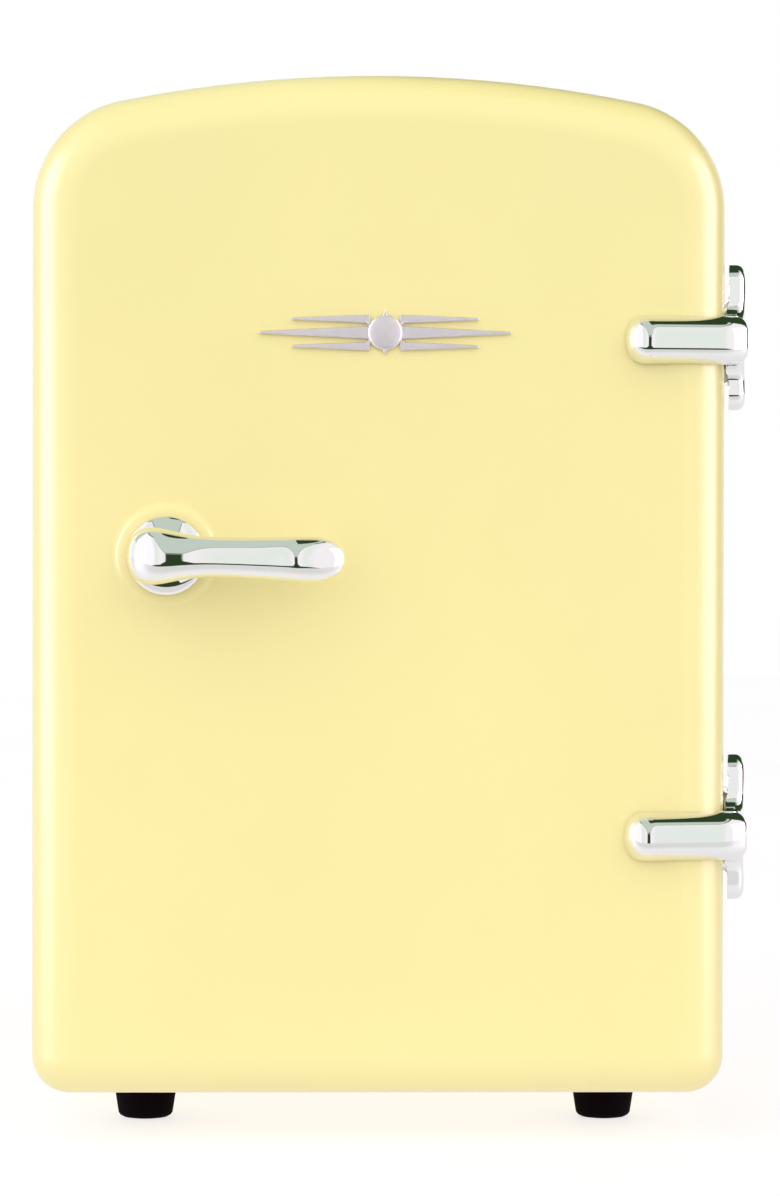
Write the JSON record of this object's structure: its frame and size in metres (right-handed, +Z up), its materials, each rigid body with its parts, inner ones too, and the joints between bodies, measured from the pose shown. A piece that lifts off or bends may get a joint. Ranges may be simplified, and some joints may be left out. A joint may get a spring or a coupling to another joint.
{
  "type": "mini fridge",
  "caption": "Tabletop thermoelectric fridge with an arched top, a full-height hinged door with chrome strap hinges and lever pull, a sliding shelf and a lift-out door bin.",
  "frame": {"origin": "centre of the object's bounding box in X and Y, at the plane the feet stand on", "axes": "+X to the viewer's right (hinge side), +Y to the back (the door faces -Y), +Z up"},
  "size_m": [0.1902, 0.2744, 0.283],
  "materials": {
    "yellow_gloss": "gloss",
    "white_plastic": "satin",
    "seal_grey": "matt",
    "foam": "matt",
    "steel": "satin",
    "clear_plastic": "clear",
    "aluminium": "satin",
    "ceramic": "matt",
    "black_plastic": "satin",
    "red_plastic": "gloss",
    "circuit_board": "satin",
    "chrome": "mirror",
    "black_rubber": "matt"
  },
  "bodies": {
    "cabinet": {"outer_shell": "yellow_gloss", "rear_cover": "yellow_gloss", "inner_liner": "white_plastic", "cabinet_insulation": "foam", "strike_plate": "steel", "cold_plate": "aluminium", "cold_block": "aluminium", "heat_sink": "aluminium", "cooling_module": "ceramic", "fan_frame": "black_plastic", "fan_grille": "black_plastic", "ac_inlet": "black_plastic", "dc_inlet": "black_plastic", "switch_bezel": "black_plastic", "status_led": "red_plastic", "control_board": "circuit_board", "module_lead": "red_plastic", "fan_lead": "black_plastic", "foot_front_left": "black_rubber", "foot_rear_left": "black_rubber", "foot_front_right": "black_rubber", "foot_rear_right": "black_rubber", "cover_screw_lower_left": "steel", "fan_screw_lower_left": "steel", "cover_screw_upper_left": "steel", "fan_screw_upper_left": "steel", "cover_screw_lower_right": "steel", "fan_screw_lower_right": "steel", "cover_screw_upper_right": "steel", "fan_screw_upper_right": "steel", "hinge_bracket_upper": "chrome", "hinge_pin_upper": "steel", "bracket_screw_upper_1": "steel", "bracket_screw_upper_2": "steel", "hinge_bracket_lower": "chrome", "hinge_pin_lower": "steel", "bracket_screw_lower_1": "steel", "bracket_screw_lower_2": "steel"},
    "door": {"door_panel": "yellow_gloss", "door_liner": "white_plastic", "door_gasket": "seal_grey", "door_insulation": "foam", "door_magnet": "steel", "front_badge": "chrome", "handle_rosette": "chrome", "handle_lever": "chrome", "hinge_arm_upper": "chrome", "handle_screw_upper": "steel", "hinge_arm_screw_upper_1": "steel", "hinge_arm_screw_upper_2": "steel", "hinge_arm_lower": "chrome", "handle_screw_lower": "steel", "hinge_arm_screw_lower_1": "steel", "hinge_arm_screw_lower_2": "steel"},
    "door_bin": {"door_bin": "clear_plastic"},
    "shelf": {"shelf": "clear_plastic"},
    "fan": {"fan_rotor": "black_plastic"},
    "rocker": {"switch_rocker": "black_plastic"}
  },
  "joints": [
    {"name": "door_swing", "type": "hinge", "parent": "cabinet", "child": "door", "pos_m": [0.0927, -0.06613, 0.1485], "axis": [0, 0, 1], "range_deg": [0, 120]},
    {"name": "door_bin_lift", "type": "slide", "parent": "door", "child": "door_bin", "axis": [0, 0, 1], "range_m": [0, 0.012]},
    {"name": "shelf_slide", "type": "slide", "parent": "cabinet", "child": "shelf", "axis": [0, -1, 0], "range_m": [0, 0.024]},
    {"name": "fan_spin", "type": "hinge", "parent": "cabinet", "child": "fan", "pos_m": [-0.0031, 0.12427, 0.158], "axis": [0, 1, 0], "continuous": true},
    {"name": "mode_switch", "type": "hinge", "parent": "cabinet", "child": "rocker", "pos_m": [-0.0411, 0.13097, 0.056], "axis": [1, 0, 0], "range_deg": [-11, 11]}
  ]
}
